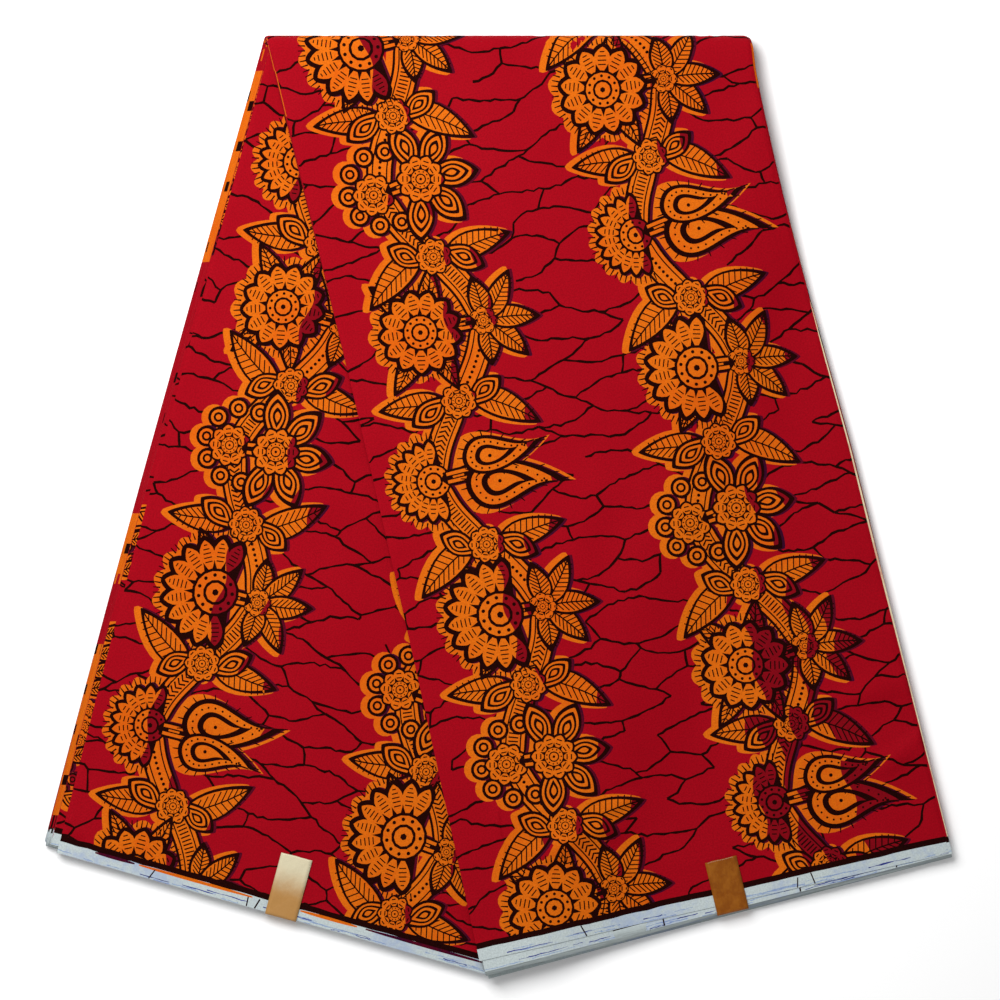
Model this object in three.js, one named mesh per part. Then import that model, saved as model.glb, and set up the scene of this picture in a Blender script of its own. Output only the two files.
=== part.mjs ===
// A six yard length of wax print cotton, folded as it is sold. The length is pleated to and fro into a strip,
// and the strip is doubled over at a slant, so that its front half leans right and its back half leans left.
// The halves lie on each other below the fold, and each ends in a stack of selvedges held by a piece of tape.
// Millimetres, +Z up, +Y towards the fold. The cloth lies on its underside, and the origin is at the middle
// of its footprint.
import * as THREE from "three";

// The fold and the pleats
const foldLength = 323; // along the fold, from one pleated side of the strip to the other
const foldHeight = 8.8; // from the underside to the middle of the fold
const pressed = 0.3; // half the space between the two halves where they lie on each other
const pleatRound = 0.9; // how far a rounded pleat stands out from the pleats' grooves

// Where the front half has nothing below it, it comes down to the floor past the back half's right side
const dropStart = 15;
const dropWidth = 75;
const dropFadeIn = 60; // the fold itself holds the front half up over this length

// Each layer, from the outside of the fold to the inside. Faces are distances from the middle of the fold.
// Each half has a left and a right side, with a length from the fold and a lean in degrees, which is to the
// right in front and to the left behind.
const layers = [
  {
    name: "outer_layer",
    faces: [8.8, 7.8],
    front: { left: 629, leftLean: 12.91, right: 557.4, rightLean: 13.84 },
    back: { left: 551, leftLean: 15.3, right: 640, rightLean: 15.4 },
    colour: 0xa80f20,
  },
  {
    name: "front_under_layer",
    faces: [7.5, 6.5],
    front: { left: 637, leftLean: 13.1, right: 558.2, rightLean: 14.0 },
    back: { left: 553, leftLean: 15.3, right: 642, rightLean: 15.42 },
    colour: 0xb9c4c2,
  },
  {
    name: "hidden_layers",
    faces: [6.2, 2.9],
    pleats: 3,
    front: { left: 638, leftLean: 13.15, right: 558.4, rightLean: 13.92 },
    back: { left: 554, leftLean: 15.28, right: 643, rightLean: 15.42 },
    colour: 0x8e0d1c,
  },
  {
    name: "back_under_layer",
    faces: [2.6, 1.6],
    front: { left: 639, leftLean: 13.18, right: 558.6, rightLean: 13.94 },
    back: { left: 555, leftLean: 15.36, right: 644, rightLean: 15.45 },
    colour: 0xa33a14,
  },
  {
    name: "inner_layer",
    faces: [1.3, 0.3],
    front: { left: 642.5, leftLean: 13.2, right: 561, rightLean: 13.98 },
    back: { left: 559.5, leftLean: 14.8, right: 647.5, rightLean: 15.48 },
    colour: 0xa80f20,
  },
];

// Tape that holds the selvedges together. Each piece lies on one layer, goes round the selvedge of the
// layer that reaches furthest under it, and ends just above what is below it.
const tapeWidth = 21.5;
const tapeWall = 0.6;
const tapeGap = 0.3;
const tapes = [
  { name: "front_tape", half: "front", across: 0.53, length: 36.8, goesRound: "back_under_layer", end: 1.4 },
  { name: "back_tape", half: "back", across: 0.512, length: 42.8, goesRound: "inner_layer", end: 0.4 },
];

// How finely the cloth is divided
const columnShares = [0, 0.04, 0.155, 0.27, 0.385, 0.5, 0.615, 0.73, 0.845, 0.96, 1];
const frontRows = 18;
const turnRows = 8;
const backRows = 5;
const lastRowShare = 0.035; // of the front half's length, for the row at the selvedge

const radians = THREE.MathUtils.degToRad;
const mix = THREE.MathUtils.lerp;
const smooth = (x, low, high) => THREE.MathUtils.smoothstep(x, low, high);
const layerNamed = (name) => layers.find((layer) => layer.name === name);
const leanSign = { front: 1, back: -1 };

const outerLayer = layerNamed("outer_layer");
const innerLayer = layerNamed("inner_layer");
const steepness =
  (Math.tan(radians(outerLayer.front.leftLean)) + Math.tan(radians(innerLayer.back.rightLean))) / 2;

// Seen from above, the direction in which a side runs away from the fold.
function sideDirection(lean, half) {
  const angle = radians(lean) * leanSign[half];
  return new THREE.Vector2(Math.sin(angle), -Math.cos(angle));
}

// Seen from above, the place at a share of the way across a half and a share of the way down it.
// The strip runs on round the fold at its slant, so the back half starts further left on a wider turn.
function placeOnHalf(edges, half, radius, across, down) {
  const shift = half === "back" ? -Math.PI * radius * steepness : 0;
  const start = new THREE.Vector2(foldLength * (across - 0.5) + shift, 0);
  const left = sideDirection(edges.leftLean, half).multiplyScalar(edges.left);
  const right = sideDirection(edges.rightLean, half).multiplyScalar(edges.right);
  left.x += shift - foldLength / 2;
  right.x += shift + foldLength / 2;
  return start.lerp(left.lerp(right, across), down);
}

// The height of the middle of the fold above the underside, carried on under the front half: it is level over
// the back half, and past the back half's right side it comes down until the innermost face is on the floor.
function supportHeight(place) {
  const lean = radians(innerLayer.back.rightLean);
  const belowFold = -place.y;
  const pastBack = (place.x - foldLength / 2 + belowFold * Math.tan(lean)) * Math.cos(lean);
  const drop = smooth(pastBack, dropStart, dropStart + dropWidth) * smooth(belowFold, 0, dropFadeIn);
  return foldHeight - (foldHeight + pressed) * drop;
}

// The rows of a layer, from the front half's selvedge up to the fold, round it and down the back half.
function clothRows() {
  const rows = [{ zone: "front", down: 1 }];
  for (let i = frontRows; i >= 0; i--) rows.push({ zone: "front", down: ((1 - lastRowShare) * i) / frontRows });
  for (let i = 1; i < turnRows; i++) rows.push({ zone: "turn", angle: (Math.PI * i) / turnRows });
  for (let i = 0; i <= backRows; i++) rows.push({ zone: "back", down: i / backRows });
  return rows;
}

const rows = clothRows();
const lastRow = rows.length - 1;
const lastColumn = columnShares.length - 1;

// One point of a layer, on its face at the given radius. Inside its outline every layer has the same plan in
// front, so that layers that come down to the floor together stay parallel.
function clothPoint(layer, column, rowIndex, radius, outset) {
  const row = rows[rowIndex];
  const across = columnShares[column];
  const sideways = column === 0 ? -outset : column === lastColumn ? outset : 0;
  const outwards = rowIndex === 0 || rowIndex === lastRow ? outset : 0;

  if (row.zone === "turn") {
    const x = foldLength * (across - 0.5) - radius * row.angle * steepness + sideways;
    return [x, radius * Math.sin(row.angle), foldHeight + radius * Math.cos(row.angle)];
  }
  const onOutline = sideways !== 0 || outwards !== 0 || column === 0 || column === lastColumn || rowIndex === 0;
  const edges = row.zone === "front" && !onOutline ? outerLayer.front : layer[row.zone];
  const place = placeOnHalf(edges, row.zone, radius, across, row.down);
  const lean = mix(edges.leftLean, edges.rightLean, across);
  const direction = sideDirection(lean, row.zone);
  place.x += direction.x * outwards - direction.y * sideways;
  place.y += direction.y * outwards + direction.x * sideways;
  const height = row.zone === "front" ? supportHeight(place) + radius : foldHeight - radius;
  return [place.x, place.y, height];
}

// The levels of a layer's edge, from its outer face to its inner one, with how far each stands out. A sheet's
// edge is a little rounded, and the edge of several layers has a round for each pleat and a groove between.
function edgeLevels(layer) {
  const [outer, inner] = layer.faces;
  const pleats = layer.pleats ?? 1;
  const round = layer.pleats ? pleatRound : pleatRound / 3;
  const levels = [];
  for (let i = 0; i <= pleats * 2; i++) {
    levels.push({ radius: mix(outer, inner, i / (pleats * 2)), outset: i % 2 ? round : 0 });
  }
  return levels;
}

// A layer's closed surface: its two faces, and the edge all round between them.
function clothGeometry(layer) {
  const levels = edgeLevels(layer);
  const lastLevel = levels.length - 1;
  const positions = [];
  const made = new Map();
  const vertex = (level, column, row) => {
    const key = `${level} ${column} ${row}`;
    if (!made.has(key)) {
      made.set(key, positions.length / 3);
      positions.push(...clothPoint(layer, column, row, levels[level].radius, levels[level].outset));
    }
    return made.get(key);
  };

  const triangles = [];
  const quad = (a, b, c, d) => triangles.push(a, b, c, a, c, d);
  for (let row = 0; row < lastRow; row++) {
    for (let column = 0; column < lastColumn; column++) {
      const corners = [
        [column, row],
        [column + 1, row],
        [column + 1, row + 1],
        [column, row + 1],
      ];
      const [a, b, c, d] = corners.map((corner) => vertex(0, ...corner));
      quad(a, b, c, d);
      const [e, f, g, h] = corners.map((corner) => vertex(lastLevel, ...corner));
      quad(e, h, g, f);
    }
  }

  const outline = [];
  for (let column = 0; column < lastColumn; column++) outline.push([column, 0]);
  for (let row = 0; row < lastRow; row++) outline.push([lastColumn, row]);
  for (let column = lastColumn; column > 0; column--) outline.push([column, lastRow]);
  for (let row = lastRow; row > 0; row--) outline.push([0, row]);
  outline.forEach((here, i) => {
    const next = outline[(i + 1) % outline.length];
    for (let level = 0; level < lastLevel; level++) {
      quad(vertex(level, ...next), vertex(level, ...here), vertex(level + 1, ...here), vertex(level + 1, ...next));
    }
  });

  const geometry = new THREE.BufferGeometry();
  geometry.setAttribute("position", new THREE.Float32BufferAttribute(positions, 3));
  geometry.setIndex(triangles);
  geometry.computeVertexNormals();
  return geometry;
}

// A piece of tape from the side: flat on the cloth, over the selvedges' edge and down it.
function tapeOutline(tape, top) {
  const inner = tapeWall;
  const outer = tapeWall * 2;
  const outline = new THREE.Shape();
  outline.moveTo(-tape.length, top);
  outline.lineTo(-tapeWall - inner, top);
  outline.absarc(-tapeWall - inner, top - inner, inner, Math.PI / 2, 0, true);
  outline.lineTo(-tapeWall, tape.end);
  outline.lineTo(0, tape.end);
  outline.lineTo(0, top + tapeWall - outer);
  outline.absarc(-outer, top + tapeWall - outer, outer, 0, Math.PI / 2, false);
  outline.lineTo(-tape.length, top + tapeWall);
  outline.closePath();
  return outline;
}

function tapeMesh(tape) {
  const { half, across } = tape;
  const edges = layerNamed(tape.goesRound)[half];
  const radius = half === "front" ? outerLayer.faces[0] : innerLayer.faces[1];
  const edge = placeOnHalf(edges, half, radius, across, 1);
  const direction = sideDirection(mix(edges.leftLean, edges.rightLean, across), half);
  const clearance = pleatRound / 3 + tapeGap + tapeWall;
  edge.addScaledVector(direction, clearance);

  const cloth = half === "front" ? supportHeight(edge) + radius : foldHeight - radius;
  const geometry = new THREE.ExtrudeGeometry(tapeOutline(tape, cloth + tapeGap), {
    depth: tapeWidth,
    bevelEnabled: false,
    curveSegments: 4,
  });
  geometry.translate(0, 0, -tapeWidth / 2);
  const mesh = new THREE.Mesh(geometry, new THREE.MeshStandardMaterial({ color: 0xa8742c, roughness: 0.35 }));
  mesh.name = tape.name;
  const outwards = new THREE.Vector3(direction.x, direction.y, 0);
  const up = new THREE.Vector3(0, 0, 1);
  const turn = new THREE.Matrix4().makeBasis(outwards, up, outwards.clone().cross(up));
  mesh.setRotationFromMatrix(turn);
  mesh.position.set(edge.x, edge.y, 0);
  return mesh;
}

function clothMesh(layer) {
  const material = new THREE.MeshStandardMaterial({ color: layer.colour, roughness: 0.75, metalness: 0 });
  const mesh = new THREE.Mesh(clothGeometry(layer), material);
  mesh.name = layer.name;
  return mesh;
}

const foldedCloth = new THREE.Group();
foldedCloth.add(...layers.map(clothMesh), ...tapes.map(tapeMesh));

// The origin is at the middle of the footprint, and the underside is at height 0.
const bounds = new THREE.Box3().setFromObject(foldedCloth);
const middle = bounds.getCenter(new THREE.Vector3());
foldedCloth.position.set(-middle.x, -middle.y, 0);

export default foldedCloth;
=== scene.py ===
import math
import random

import bpy
import numpy as np
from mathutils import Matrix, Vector, geometry


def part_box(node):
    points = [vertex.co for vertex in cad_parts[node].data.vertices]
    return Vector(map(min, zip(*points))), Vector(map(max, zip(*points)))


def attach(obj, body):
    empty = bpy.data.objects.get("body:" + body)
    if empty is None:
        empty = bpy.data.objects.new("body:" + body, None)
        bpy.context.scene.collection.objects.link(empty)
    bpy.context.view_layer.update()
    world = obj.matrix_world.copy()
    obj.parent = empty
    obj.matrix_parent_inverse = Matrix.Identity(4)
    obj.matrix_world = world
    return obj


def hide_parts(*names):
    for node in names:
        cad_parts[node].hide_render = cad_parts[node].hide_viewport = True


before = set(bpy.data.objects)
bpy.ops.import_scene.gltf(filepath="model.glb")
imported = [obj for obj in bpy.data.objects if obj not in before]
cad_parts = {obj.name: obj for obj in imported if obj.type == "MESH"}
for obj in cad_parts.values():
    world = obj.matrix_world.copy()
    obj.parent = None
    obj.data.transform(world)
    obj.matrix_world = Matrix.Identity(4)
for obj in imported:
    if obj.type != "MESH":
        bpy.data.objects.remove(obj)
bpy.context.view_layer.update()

# A pleated length of wax print cotton, doubled over at a slant and laid flat.
# Lengths are millimetres until a mesh is made, and mm turns them into metres.
mm = 0.001
bpy.ops.object.select_all(action="DESELECT")
scene = bpy.context.scene


# Colours

def linear(red, green, blue):
    channels = [c / 255 for c in (red, green, blue)]
    return [c / 12.92 if c <= 0.04045 else ((c + 0.055) / 1.055) ** 2.4 for c in channels]


# Shader maths

class Value:
    def __init__(self, tree, socket):
        self.tree, self.socket = tree, socket

    def math(self, operation, *others):
        return self.tree.add("ShaderNodeMath", {"operation": operation}, self, *others)

    def __add__(self, other):
        return self.math("ADD", other)

    def __mul__(self, other):
        return self.math("MULTIPLY", other)

    __radd__ = __add__
    __rmul__ = __mul__


class Tree:
    def __init__(self, name):
        self.material = bpy.data.materials.new(name)
        self.material.use_nodes = True
        self.nodes = self.material.node_tree.nodes
        self.links = self.material.node_tree.links
        self.shader = self.nodes["Principled BSDF"]

    # Adds a node. Its settings are set first, then its sockets by place or by name.
    def add(self, kind, settings, *values, output=0, **named):
        node = self.nodes.new(kind)
        for key, value in settings.items():
            setattr(node, key, value)
        for socket, value in [*zip(node.inputs, values), *[(node.inputs[k], v) for k, v in named.items()]]:
            self.feed(socket, value)
        return Value(self, node.outputs[output])

    def feed(self, socket, value):
        if isinstance(value, Value):
            self.links.new(value.socket, socket)
        elif value is not None:
            socket.default_value = value

    def noise(self, where, scale, detail, roughness):
        kind = "ShaderNodeTexNoise"
        return self.add(kind, {}, Vector=where, Scale=scale, Detail=detail, Roughness=roughness)

    def between(self, value, low, high, start=0.0, end=1.0):
        settings = {"interpolation_type": "SMOOTHSTEP"}
        return self.add("ShaderNodeMapRange", settings, value, low, high, start, end)

    def mix(self, factor, first, second):
        node = self.nodes.new("ShaderNodeMix")
        node.data_type = "RGBA"
        for socket, value in (("Factor", factor), ("A", first), ("B", second)):
            self.feed(node.inputs[socket], value)
        return Value(self, node.outputs["Result"])

    # Feeds the shader's own sockets, by name.
    def finish(self, sockets):
        for name, value in sockets.items():
            self.feed(self.shader.inputs[name], value)

    def bump(self, height):
        bump = self.add("ShaderNodeBump", {}, Strength=1.0, Distance=1.0, Height=height)
        self.finish({"Normal": bump})


# Where the cloth lies

cloth = {
    "foldLength": 323,  # along the fold
    "foldHeight": 8.8,  # from the floor to the middle of the fold
    "pressed": 0.3,
    "dropStart": 15,
    "dropWidth": 75,
    "dropFadeIn": 60,
    "stripWidth": 320,  # of one pleat
    "pleats": 17,
    "pitch": 0.5,  # from one layer to the next
    "sheet": 0.34,  # one layer's thickness
    "edgeRound": 0.5,  # how far an outside layer's sides curl in
    "curlWidth": 1.8,  # how far from its side a layer starts to curl
    "cornerOut": 0.3,  # how far the box's right side is past the front half's right corner
    "selvedge": 8,
    "border": 4,
}

# The sides of a layer, front and back: length and lean of its left side, then of its right side.
outlines = {
    "outer": {"front": (629, 12.91, 557.4, 13.84), "back": (551, 15.3, 640, 15.4)},
    "frontUnder": {"front": (637, 13.1, 558.2, 14.05), "back": (553, 15.3, 642, 15.42)},
    "hidden": {"front": (638, 13.15, 558.4, 13.92), "back": (554, 15.28, 643, 15.42)},
    "backUnder": {"front": (639, 13.18, 558.6, 13.94), "back": (555, 15.36, 644, 15.45)},
    "inner": {"front": (642.5, 13.2, 561, 13.98), "back": (559.5, 14.8, 647.5, 15.48)},
}

# How far the strip's sides bow, to the right, with the distance from the fold at which the bow ends.
bows = {
    "frontLeft": (2.6, 629, 1.0),
    "frontRight": (-3.7, 275, 0.6),
    "backLeft": (-1.6, 555, 1.3),
    "backRight": (0.0, 640, 1.0),
}

# Soft creases of the sheets that are seen: start, end, half width and height.
creases = {
    "front": [
        ((2, -545), (87, -519), 8, 2.4),
        ((52, -513), (92, -500), 4, 1.5),
        ((-6, -497), (-7, -572), 1.4, 0.8),
        ((14, -510), (16, -580), 1.5, 0.6),
        ((232, -487), (296, -459), 7, 2.4),
        ((205, -440), (285, -425), 9, 2.0),
        ((-120, -60), (-60, -180), 12, 1.4),
        ((60, -250), (30, -420), 16, 1.9),
        ((150, -120), (175, -300), 14, 1.6),
        ((-105, -300), (-60, -520), 9, 1.3),
    ],
    "back": [
        ((-298, -510), (-286, -533), 3, 1.4),
        ((-250, -420), (-180, -470), 12, 1.6),
        ((-210, -250), (-160, -330), 12, 1.5),
    ],
}

# How creases sway and fade, and where the mesh has points beside them, in half widths.
creasing = {"sway": 2.5, "swayLength": 11, "fade": 0.35, "step": 5, "beside": (-1.7, -0.85, 0, 0.85, 1.7)}

outerRight, outerRightLean = outlines["outer"]["front"][2:]
innerLean = math.radians(outlines["inner"]["back"][3])
slant = (math.tan(math.radians(outlines["outer"]["front"][1])) + math.tan(innerLean)) / 2
slantCosine = math.cos(math.atan(slant))
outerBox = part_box("outer_layer")
rightLean = math.radians(outerRightLean)
rightCorner = cloth["foldLength"] / 2 + outerRight * math.sin(rightLean) + cloth["cornerOut"]
foldX = outerBox[1].x / mm - rightCorner
foldY = outerBox[1].y / mm - cloth["foldHeight"]


def ease(t):
    t = np.clip(t, 0, 1)
    return t * t * (3 - 2 * t)


def bowed(side, distance):
    amount, end, skew = bows[side]
    return amount * np.sin(np.pi * np.clip(distance / end, 0, 1) ** skew)


def supportHeight(x, y):
    pastBack = (x - cloth["foldLength"] / 2 - y * math.tan(innerLean)) * math.cos(innerLean)
    drop = ease((pastBack - cloth["dropStart"]) / cloth["dropWidth"]) * ease(-y / cloth["dropFadeIn"])
    return cloth["foldHeight"] - (cloth["foldHeight"] + cloth["pressed"]) * drop


def direction(start, end):
    length = math.dist(start, end)
    return length, (end[0] - start[0]) / length, (end[1] - start[1]) / length


# How far a half's creases lift the cloth.
def creased(half, x, y):
    height = np.zeros_like(x)
    for start, end, width, rise in creases[half]:
        length, dx, dy = direction(start, end)
        along = (x - start[0]) * dx + (y - start[1]) * dy
        beside = (y - start[1]) * dx - (x - start[0]) * dy
        beside += creasing["sway"] * np.sin(along / creasing["swayLength"])
        fadeLength = creasing["fade"] * length
        fade = ease(along / fadeLength) * ease((length - along) / fadeLength)
        height += rise * fade * np.exp(-((beside / width) ** 2))
    return height


# Places of points of a layer. across runs from 0 to 1 over the strip, along is the distance from the
# front selvedge, and lift is how far the point is outwards of the layer's middle.
def layOut(layer, across, along, lift=0.0):
    frontLeft, frontLeftLean, frontRight, frontRightLean = layer["outline"]["front"]
    backLeft, backLeftLean, backRight, backRightLean = layer["outline"]["back"]
    middle = layer["radius"]
    side = np.minimum(across, 1 - across) * cloth["stripWidth"]
    radius = middle + lift - layer["curl"] * (1 - ease(side / cloth["curlWidth"]))
    fromFold = frontLeft + (frontRight - frontLeft) * across - along

    lean = np.radians(frontLeftLean + (frontRightLean - frontLeftLean) * across)
    start = cloth["foldLength"] * (across - 0.5)
    front = np.maximum(fromFold, 0)
    bow = bowed("frontLeft", front) * (1 - across) + bowed("frontRight", front) * ease(across * 1.5 - 0.5)
    x = start + front * np.sin(lean) + bow
    y = -front * np.cos(lean)
    z = supportHeight(x, y) + radius
    if layer["creased"] == "front":
        z = z + creased("front", x, y)

    angle = np.clip(-fromFold * slantCosine / middle, 0, np.pi)
    turning = (fromFold < 0) & (angle < np.pi)
    x = np.where(fromFold < 0, start - radius * angle * slant, x)
    y = np.where(turning, radius * np.sin(angle), y)
    z = np.where(turning, cloth["foldHeight"] + radius * np.cos(angle), z)

    past = np.maximum(-fromFold - np.pi * middle / slantCosine, 0)
    backLean = np.radians(backLeftLean + (backRightLean - backLeftLean) * across)
    backBow = bowed("backLeft", past) * (1 - across) + bowed("backRight", past) * across
    onBack = angle >= np.pi
    x = np.where(onBack, x - past * np.sin(backLean) + backBow, x)
    y = np.where(onBack, -past * np.cos(backLean), y)
    rise = creased("back", x, y) if layer["creased"] == "back" else 0
    z = np.where(onBack, cloth["foldHeight"] - radius + rise, z)
    return np.stack([x + foldX, y + foldY, z], axis=-1)


# The distance from the front selvedge, at a share of the way through the front half, the turn or the back.
def alongOf(layer, across, zone, share):
    frontLeft, _, frontRight, _ = layer["outline"]["front"]
    backLeft, _, backRight, _ = layer["outline"]["back"]
    front = frontLeft + (frontRight - frontLeft) * across
    turn = math.pi * layer["radius"] / slantCosine
    back = backLeft + (backRight - backLeft) * across
    return {"front": front * share, "turn": front + turn * share, "back": front + turn + back * share}[zone]


# The distance from the front selvedge's edge to the back selvedge's.
def endOf(layer, across):
    return alongOf(layer, across, "back", 1.0)


# Points along and beside a layer's creases, where its mesh has to be finer, as places on the flat cloth.
def creasePlaces(layer):
    half, places = layer["creased"], []
    for start, end, width, _ in creases.get(half, ()):
        length, dx, dy = direction(start, end)
        _, leftLean, _, rightLean = layer["outline"][half]
        for distance in np.arange(2, length, creasing["step"]):
            for beside in creasing["beside"]:
                away = beside * width - creasing["sway"] * math.sin(distance / creasing["swayLength"])
                x, y = start[0] + dx * distance - dy * away, start[1] + dy * distance + dx * away
                across = 0.5
                for _ in range(6):  # the lean depends on the share across, so it is closed in on
                    lean = math.radians(leftLean + (rightLean - leftLean) * across)
                    foot = x + y * math.tan(lean) * (1 if half == "front" else -1)
                    across = foot / cloth["foldLength"] + 0.5
                if 0.02 < across < 0.98:
                    reach = -y / math.cos(lean)
                    along = -reach if half == "front" else reach
                    along += alongOf(layer, across, "front" if half == "front" else "turn", 1.0)
                    places.append((across * cloth["stripWidth"], float(along)))
    return places


# place is 0 for the outermost layer and grows inwards.
def layerAt(outline, place, curl=0.0, creased=None):
    radius = cloth["foldHeight"] - cloth["sheet"] / 2 - cloth["pitch"] * place
    return {"outline": outlines[outline], "radius": radius, "curl": curl, "creased": creased}


outerLayer = layerAt("outer", 0, cloth["edgeRound"], "front")
frontUnderLayer = layerAt("frontUnder", 1)
backUnderLayer = layerAt("backUnder", cloth["pleats"] - 2)
innerLayer = layerAt("inner", cloth["pleats"] - 1, -cloth["edgeRound"], "back")


# The print, drawn on the flat cloth

printing = {
    "veinLength": 62,
    "veinHeight": 17,
    "veinWidth": 1.55,
    "veinGap": 0.07,  # share of the veins left out
    "line": 1.7,
    "hatch": 0.82,
    "ray": (1.15, 0.6),  # from its root to its tip
    "smallest": 3.2,  # area of the smallest shape of a print that isn't fine
    "sway": 2.3,  # of the edge of the second dye
    "swayLength": 6.3,
    "cutStep": 1.6,
    "stem": 18.5,
    "wideStem": 9,  # from this width on a stem has a fine line inside each edge
    "haloShift": (-2.9, 0.9),
    "haloGrow": 1.6,
    "rayedGrow": 4.8,
    "shadeShift": (1.5, -0.4),
    "shadeGrow": 0.3,
    "worn": 260,  # how far from the front selvedge the right sides of motifs are dyed over
    "vineWave": 196,
    "vineSwing": 23,
    "vines": (70, 236),
}
# Inks, by their places in the list of materials. outside stands for no cloth at all.
red, orange, black, maroon, crimson, white, stain, wash, cream = range(9)
outside = -1


def turned(points, at, angle, size=1.0, flip=False):
    points = np.asarray(points, float) * size
    if flip:
        points = points * (-1, 1)
    c, s = math.cos(angle), math.sin(angle)
    return points @ np.array([[c, s], [-s, c]]) + np.asarray(at)


def grown(points, amount):
    ahead, behind = np.roll(points, -1, 0), np.roll(points, 1, 0)
    tangent = ahead - behind
    length = np.maximum(np.hypot(tangent[:, 0], tangent[:, 1]), 1e-6)
    normal = np.stack([tangent[:, 1], -tangent[:, 0]], -1) / length[:, None]
    turn = 1 if signedArea(points) > 0 else -1
    return points + normal * amount * turn


def signedArea(points):
    x, y = points[:, 0], points[:, 1]
    return 0.5 * np.sum(x * np.roll(y, -1) - np.roll(x, -1) * y)


def disc(x, y, radius, steps=9):
    angles = np.arange(steps) * 2 * math.pi / steps
    return np.stack([x + radius * np.cos(angles), y + radius * np.sin(angles)], -1)


def blade(length, width, fullness, bend=0.0, steps=9):
    t = 0.5 - 0.5 * np.cos(np.linspace(0, np.pi, steps + 1))
    half = width / 2 * np.abs(np.sin(np.pi * t**fullness)) ** 0.8
    x = bend * length * t * t
    right = np.stack([x + half, t * length], -1)
    left = np.stack([x - half, t * length], -1)[::-1]
    return np.concatenate([right, left[1:-1]])


def stroke(points, width):
    points = np.asarray(points, float)
    tangent = np.gradient(points, axis=0)
    tangent /= np.maximum(np.hypot(tangent[:, 0], tangent[:, 1]), 1e-6)[:, None]
    normal = np.stack([-tangent[:, 1], tangent[:, 0]], -1)
    half = np.broadcast_to(np.asarray(width, float) / 2, (len(points),))[:, None]
    return np.concatenate([points - normal * half, (points + normal * half)[::-1]])


# What lies to the right of a cut that sways.
def rightPart(points, split):
    def cutAt(y):
        return split + printing["sway"] * math.sin(y / printing["swayLength"])

    def alongCut(first, last):
        ys = np.linspace(first, last, 2 + int(abs(last - first) / printing["cutStep"]))[1:-1]
        return [(cutAt(y), y, True) for y in ys]

    kept = []  # places, and whether they are on the cut
    for a, b in zip(points, np.roll(points, -1, 0)):
        before, after = a[0] - cutAt(a[1]), b[0] - cutAt(b[1])
        if before > 0:
            kept.append((a[0], a[1], False))
        if (before > 0) != (after > 0):
            y = a[1] + (b[1] - a[1]) * before / (before - after)
            if kept and kept[-1][2]:
                kept += alongCut(kept[-1][1], y)
            kept.append((cutAt(y), y, True))
    if kept and kept[0][2] and kept[-1][2]:
        kept += alongCut(kept[-1][1], kept[0][1])
    return np.array([(x, y) for x, y, _ in kept])


# Every motif is a list of shapes in painting order, the first of them its outline.

# Discs on one centre. Each part has its share of the radius, its number of corners and its ink.
def discs(x, y, radius, *parts):
    return [(disc(x, y, radius * share, steps), ink) for share, steps, ink in parts]


# An outline at other sizes, drawn in towards its focus.
def nested(whole, focus, *parts):
    return [((whole - focus) * share + focus, ink) for share, ink in parts]


# Shares of a flower's radius, and the gaps between its hatching and its rays.
blossom = {
    "scallop": 0.12,
    "petalRoot": 0.34,
    "petalLength": 0.58,
    "petalWidth": 1.4688,
    "hatched": (0.54, 0.84),
    "hatchGap": 2.9,
    "rayGap": 3.3,
    "heart": ((0.42, 16, black), (0.37, 16, orange)),
    "beads": 11,
    "beadRing": 0.3,
    "bead": (0.035, 6, black),
    "eye": ((0.22, 12, black), (0.17, 10, orange), (0.06, 6, black)),
}


def flower(radius, petals, sweep=360, rayed=False):
    whole = math.radians(sweep)
    step = whole / petals
    first = (step - whole) / 2
    scallop = np.linspace(-whole / 2, whole / 2, petals * 6 + 1)
    bulge = np.abs(np.cos((scallop - first) * petals * math.pi / whole))
    reach = radius * (1 - blossom["scallop"] + blossom["scallop"] * bulge)
    edge = np.stack([reach * np.sin(scallop), reach * np.cos(scallop)], -1)
    outline = edge[:-1] if sweep == 360 else np.concatenate([edge, [(0, -0.26 * radius)]])
    shapes = [(outline, black)]
    for angle in np.arange(scallop[0] + 0.06, scallop[-1], blossom["rayGap"] / radius) if rayed else ():
        ray = turned([(0, radius - 0.8), (0, radius + 4.2)], (0, 0), -angle)
        shapes.append((stroke(ray, printing["ray"]), black))
    wide = blossom["petalWidth"] * radius * math.sin(step / 2)
    root, long = blossom["petalRoot"], blossom["petalLength"]
    petal = blade(long * radius, wide, 1.35) + (0, root * radius)
    for i in range(petals):
        angle = -(first + i * step)
        shapes.append((turned(petal, (0, 0), angle), orange))
        for share in np.arange(*blossom["hatched"], blossom["hatchGap"] / radius):
            half = wide * 0.27 * math.sin(math.pi * (share - root) / long)
            bar = [(-half, share * radius), (half, share * radius)]
            shapes.append((stroke(turned(bar, (0, 0), angle), printing["hatch"]), black))
    shapes += discs(0, 0, radius, *blossom["heart"])
    for x, y in disc(0, 0, blossom["beadRing"] * radius, blossom["beads"]):
        shapes += discs(x, y, radius, blossom["bead"])
    return shapes + discs(0, 0, radius, *blossom["eye"])


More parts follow.
